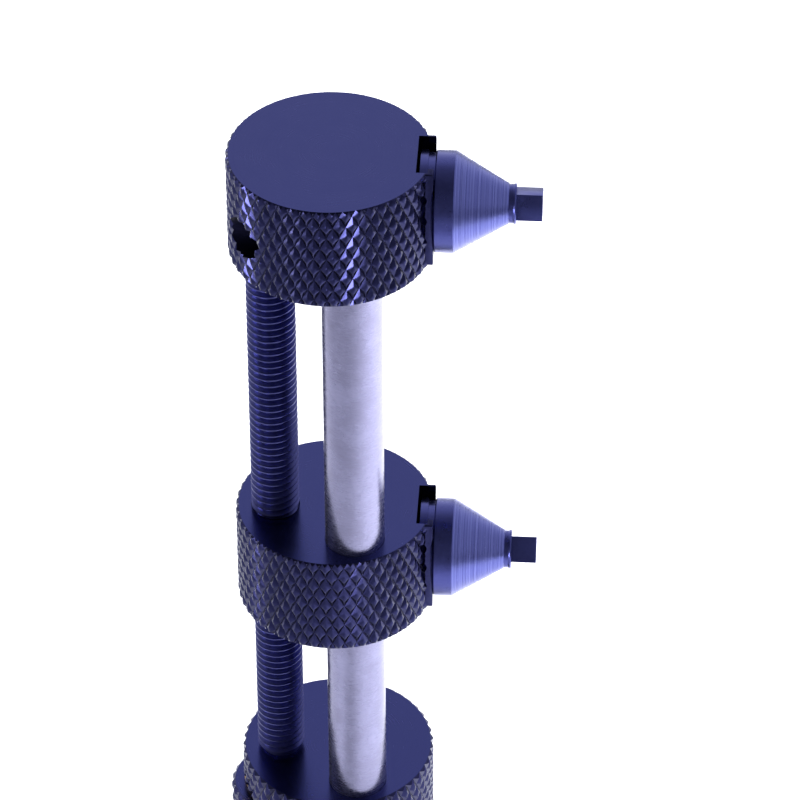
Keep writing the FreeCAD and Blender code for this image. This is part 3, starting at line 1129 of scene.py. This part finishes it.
@dataclass
class ConeBit:
    """A turned bit: a tongue for the slot, a cone, a collar and a square tip along +X.

    Attributes:
        node: The CAD node that it stands for.
        body: The body that it rides on.
        tip_turn: How far the square is turned about the bit's axis, in degrees.
        seed: For the turning lines.
        undercut: The groove at the cone's foot: how deep it is and how far it slopes.
        bead: The collar's outline to its end, as insets from its radius and its end.
        tip_root: How far inside the collar the square starts.
        tip_edge: Round on the square's edges.
        line_spacing: Distance between the cone's turning lines, line_depth deep at most.
        deep_lines: The lines at the wide end that are DEEPER times as deep.
    """

    node: str
    body: Body
    tip_turn: float
    seed: int
    radius: float = 5.0
    tongue_back: float = 8.75
    tongue_front: float = 9.5
    tongue_width: float = 5.9
    neck_width: float = 4.5
    neck_radius: float = 4.8
    base_back: float = 10.2
    edge: float = 0.12
    cone_start: float = 12.1
    cone_end: float = 17.3
    collar_radius: float = 2.0
    collar_end: float = 18.05
    tip_side: float = 2.65
    undercut: tuple[float, float] = (0.08, 0.06)
    bead: Profile = ((0.08, 0.3), (0.02, 0.22), (0.0, 0.12), (0.05, 0.0))
    tip_root: float = 0.3
    tip_edge: float = 0.06
    line_spacing: float = 0.13
    line_depth: float = 0.012
    deep_lines: int = 6

    def section(self) -> list[tuple[float, float]]:
        """The bit's half section, with the cone's turning lines as real shallow grooves."""
        chance = random.Random(self.seed)
        length = self.cone_end - self.cone_start
        slope = (self.radius - self.collar_radius) / length
        count = round(length / self.line_spacing)
        lines = []
        for i in range(1, count):
            along = self.cone_start + length * i / count
            dip = self.line_depth * chance.random() ** 2 * (DEEPER if i <= self.deep_lines else 1.0)
            lines.append((self.radius - slope * (along - self.cone_start) - dip, along))
        wide, neck, slim, end = self.radius, self.neck_radius, self.collar_radius, self.collar_end
        return [
            (0, self.tongue_back),
            (wide, self.tongue_back),
            (wide, self.tongue_front),
            (neck, self.tongue_front),
            (neck, self.base_back),
            (wide - self.edge, self.base_back),
            (wide, self.base_back + self.edge),
            (wide, self.cone_start),
            *lines,
            (slim, self.cone_end),
            (slim - self.undercut[0], self.cone_end + self.undercut[1]),
            *[(slim - inset, end - back) for inset, back in self.bead],
            (0, end),
        ]

    def build(self) -> None:
        """Makes the bit."""
        box = NodeBox.of(self.node)
        bit = Solid.turned(self.section())
        reach = self.radius + PAST
        for low, high, width in (
            (self.tongue_back - PAST, self.tongue_front, self.tongue_width),
            (self.tongue_front - OVERLAP, self.base_back, self.neck_width),
        ):
            for side in (-1, 1):
                near, far = sorted((side * width / 2, side * reach))
                bit.cut(Solid.block((-reach, near, low), (reach, far, high)))
        half = self.tip_side / 2
        tip = Solid.block((-half, -half, self.collar_end - self.tip_root), (half, half, box.high.x))
        tip = tip.rounded(self.tip_edge).rotated(self.tip_turn, "Z")
        bit.join(tip).rotated(90, "Y").moved(z=box.middle.z)

        def pick(centre: Vector, normal: Vector) -> int:
            """Gives the cone 1, whose paler finish is partly painted light, and the plain parts 0."""
            return int(self.cone_start < centre.x < self.cone_end)

        # The cone's paler finish is partly painted light; its turning lines are real.
        finishes = [SMOOTH_BLACK, TURNED_BLACK_PAINTED_LIGHT]
        Piece(self.node, "turned", bit, self.body, Slot.TURNED, finishes, pick).place()


@dataclass
class SetScrew:
    """A socket set screw.

    Attributes:
        node: The CAD node that it stands for.
        body: The body that it rides on.
        axis: The way its socket faces.
        socket: Half the socket's width across corners.
        socket_depth: Depth of the socket.
        bevel: Bevel of the point.
        pitch: The thread's pitch.
        flank_height: The thread's height from root to crest.
    """

    node: str
    body: Body
    axis: str
    socket: float = 1.1
    socket_depth: float = 2.0
    bevel: float = 0.4
    pitch: float = 0.7
    flank_height: float = 0.25

    def build(self) -> None:
        """Makes the screw."""
        box = NodeBox.of(self.node)
        size = box.high - box.low
        radius, length = size.z / 2, size.x if self.axis == "-X" else size.y
        thread = RolledThread(radius, self.pitch, self.flank_height)
        wide, bevel, half = radius + THREAD_MARGIN, self.bevel, self.bevel / 2
        side = [(radius - bevel, 0), (wide, bevel), (wide, length - half), (radius - half, length)]
        outline = Solid.turned([(0, 0), *side, (0, length)], FINE_SEGMENTS * 2)
        screw = thread.bar(0, length, SCREW_BLACK.material()).within(outline)
        key = Solid.drill(self.socket, self.socket_depth + PAST, 6)
        screw.cut(key.moved(z=length - self.socket_depth))
        if self.axis == "-X":
            screw.rotated(-90, "Y").moved(box.high.x, box.middle.y, box.middle.z)
        else:
            screw.rotated(-90, "X").moved(box.middle.x, box.low.y, box.middle.z)
        Piece(self.node, "cut", screw, self.body, Slot.SET_SCREW, [SCREW_BLACK]).place()


@dataclass
class Detent:
    """The ball and spring behind one bit.

    Attributes:
        side: The bit's name, without its ending.
        ball_body: The body that the ball is.
        spring_body: The body that holds the spring.
        press: How far the ball goes in, and the spring shortens; not used.
    """

    side: str
    ball_body: Body
    spring_body: Body
    press: float = 0.4

    def build(self) -> None:
        """Makes the ball and winds the spring."""
        node = f"{self.side}_bit_detent_ball"
        box = NodeBox.of(node)
        shape = bmesh.new()
        bmesh.ops.create_icosphere(shape, subdivisions=4, radius=(box.high.z - box.low.z) / 2)
        ball = Solid.from_bmesh(shape).moved(*box.middle)
        Piece(node, "polished", ball, self.ball_body, Slot.BALL, [BEARING_STEEL]).place()
        node = f"{self.side}_bit_detent_spring"
        box = NodeBox.of(node)
        wire = CoilSpring().along_x(box.low.x, box.high.x, SPRING_STEEL.material())
        wire.moved(z=box.middle.z)
        piece = Piece(node, "wound", wire, self.spring_body, Slot.SPRING, [SPRING_STEEL]).place()
        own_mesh(piece)


@dataclass
class ThrustWasher:
    """A flat brass ring between the wheel and a wall of its slot."""

    node: str
    bore: float = 2.12
    bevel: float = 0.06

    def build(self) -> None:
        """Makes the washer."""
        box = NodeBox.of(self.node)
        outer, bevel = (box.high.x - box.low.x) / 2, self.bevel
        low, high, segments = box.low.z, box.high.z, FINE_SEGMENTS * 2
        ring = Solid.barrel(outer, low, high, outer - bevel, bevel, self.bore, segments)
        ring.moved(box.middle.x, box.middle.y)
        Piece(self.node, "pressed", ring, Body.FRAME, Slot.BRASS, [ROLLED_BRASS]).place()


# Floor, light and camera


@dataclass
class Studio:
    """A pale floor, a soft bright surround and the camera.

    Attributes:
        target: The point that the camera looks at, in millimetres.
        azimuth: Degrees round the tool, from the side that the bits point across.
        elevation: Degrees above the horizon.
        roll: Degrees that the camera is turned about its own view.
        distance: From the target, in millimetres.
        lens: Focal length for the sensor width.
        sensor: Width of the sensor.
        tint: Colour of the surround, sRGB hex.
        lit_from: The level direction of the surround's bright side.
        front_glow: Strength of the surround in front.
        back_glow: Strength of the surround behind.
        band_glow: What the band near the horizon adds, except in front.
        lid_share: How much of the surround's strength is left overhead.
    """

    target: Place = (6.56, 1.94, 60.3)
    azimuth: float = 3.5
    elevation: float = 39.13
    roll: float = -0.2253
    distance: float = 497.3
    lens: float = 222.8
    sensor: float = 36.0
    tint: str = "#f3f5ff"
    lit_from: tuple[float, float] = (0.55, 0.83)
    front_glow: float = 0.2
    back_glow: float = 1.0
    band_glow: float = 0.7
    lid_share: float = 0.4

    def build(self) -> None:
        """Makes the floor, the surround, the lamps and the camera."""
        self.floor()
        self.surround()
        self.lamps()
        self.camera()

    def floor(self) -> None:
        """A plain pale floor at the foot of the tool."""
        shape = bmesh.new()
        bmesh.ops.create_grid(shape, x_segments=1, y_segments=1, size=3.0)
        mesh = bpy.data.meshes.new("floor")
        shape.to_mesh(mesh)
        shape.free()
        paint = bpy.data.materials.new("pale_floor")
        paint.use_nodes = True
        surface = paint.node_tree.nodes["Principled BSDF"]
        surface.inputs["Base Color"].default_value = linear("#f4f5f8")
        surface.inputs["Roughness"].default_value = 0.9
        surface.inputs["Specular IOR Level"].default_value = 0.1
        mesh.materials.append(paint)
        plane = bpy.data.objects.new("floor", mesh)
        bpy.context.scene.collection.objects.link(plane)

    def surround(self) -> None:
        """A soft surround: dim in front, fair behind and above, bright low down elsewhere."""
        world = bpy.data.worlds.new("studio")
        bpy.context.scene.world = world
        world.use_nodes = True
        tree = world.node_tree
        tree.nodes.clear()
        way = add_node(tree, "ShaderNodeSeparateXYZ", (add_node(tree, "ShaderNodeTexCoord"),))
        side = add_node(tree, MATH, (way, self.lit_from[0]), operation="MULTIPLY")
        reach = add_node(tree, MATH, (way.outputs["Y"], self.lit_from[1], side), operation="MULTIPLY_ADD")
        height = add_node(tree, MATH, (way.outputs["Z"],), operation="ABSOLUTE")
        behind, lid, low, away = [
            add_node(tree, RAMP, span, interpolation_type="SMOOTHSTEP")
            for span in (
                (reach, -0.75, 0.75, self.front_glow, self.back_glow),
                (way.outputs["Z"], 0.66, 0.95, 1.0, self.lid_share),
                (height, 0.05, 0.6, 1.0, 0.0),
                (way.outputs["Y"], -0.9, 0.1, 0.0, self.band_glow),
            )
        ]
        dome = add_node(tree, MATH, (behind, lid), operation="MULTIPLY")
        glow = add_node(tree, MATH, (low, away, dome), operation="MULTIPLY_ADD")
        sky = add_node(tree, "ShaderNodeBackground", {"Color": linear(self.tint), "Strength": glow})
        add_node(tree, "ShaderNodeOutputWorld", {"Surface": sky})

    def lamps(self) -> None:
        """Soft floods on the floor behind and beside the tool, and two low side lamps."""
        for name, place, aim, power, angle in (
            ("back_flood", (0.06, 0.25, 0.62), (0.05, 0.14, 0.0), 30.0, 44.0),
            ("right_flood", (0.25, 0.02, 0.45), (0.115, -0.03, 0.0), 17.0, 34.0),
        ):
            light = bpy.data.lights.new(name, "SPOT")
            light.energy = power
            light.spot_size = math.radians(angle)
            light.spot_blend = 1.0
            light.shadow_soft_size = 0.05
            # A flood lights only the floor, so that it isn't mirrored in the metal.
            self.hang(name, light, place, aim).visible_glossy = False
        for name, place, size, power in (
            ("front_low", (-0.226, -0.33, 0.032), 0.09, 0.85), ("left_low", (-0.5, 0.02, 0.05), 0.12, 3.0)
        ):
            light = bpy.data.lights.new(name, "AREA")
            light.shape = "DISK"
            light.size = size
            light.energy = power
            self.hang(name, light, place, (0.0, 0.0, 0.06))

    @staticmethod
    def hang(name: str, light: Light, place: Place, aim: Place) -> Object:
        """Puts a lamp at a place in metres, turns it to a point and returns it."""
        lamp = bpy.data.objects.new(name, light)
        lamp.location = place
        way = Vector(aim) - Vector(place)
        lamp.rotation_euler = way.to_track_quat("-Z", "Y").to_euler()
        bpy.context.scene.collection.objects.link(lamp)
        return lamp

    def camera(self) -> None:
        """A long lens that looks down on the tool."""
        turn, lift = math.radians(self.azimuth), math.radians(self.elevation)
        back = Vector((math.sin(turn) * math.cos(lift), -math.cos(turn) * math.cos(lift), math.sin(lift)))
        data = bpy.data.cameras.new("camera")
        data.sensor_width = self.sensor
        data.lens = self.lens
        data.clip_start = 0.01
        camera = bpy.data.objects.new("camera", data)
        camera.location = (Vector(self.target) + back * self.distance) * METRES
        facing = (-back).to_track_quat("-Z", "Y")
        spin = Matrix.Rotation(math.radians(self.roll), 3, back)
        camera.rotation_euler = (spin @ facing.to_matrix()).to_euler()
        bpy.context.scene.collection.objects.link(camera)
        bpy.context.scene.camera = camera


def main() -> None:
    """Builds every sub-assembly and the studio round them."""
    logging.basicConfig(level=logging.INFO, format="%(name)s: %(message)s")
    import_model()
    bpy.context.scene.view_settings.view_transform = "Standard"
    rods = Rods()
    for assembly in (
        rods,
        Heads(rods),
        AdjustingWheel(rods),
        ConeBit("fixed_bit", Body.FIXED_BIT, 71.0, 3),
        ConeBit("sliding_bit", Body.SLIDING_BIT, 50.0, 8),
        SetScrew("head_grub_screw", Body.FRAME, "-X"),
        SetScrew("end_block_grub_screw", Body.FRAME, "+Y"),
        SetScrew("wheel_grub_screw", Body.SCREW, "-X", 0.7, 1.2, 0.3, pitch=0.5),
        Detent("fixed", Body.FIXED_BALL, Body.FRAME),
        Detent("sliding", Body.SLIDING_BALL, Body.SLIDER),
        ThrustWasher("lower_thrust_washer"),
        ThrustWasher("upper_thrust_washer"),
        Studio(),
    ):
        assembly.build()


if __name__ == "__main__":
    main()
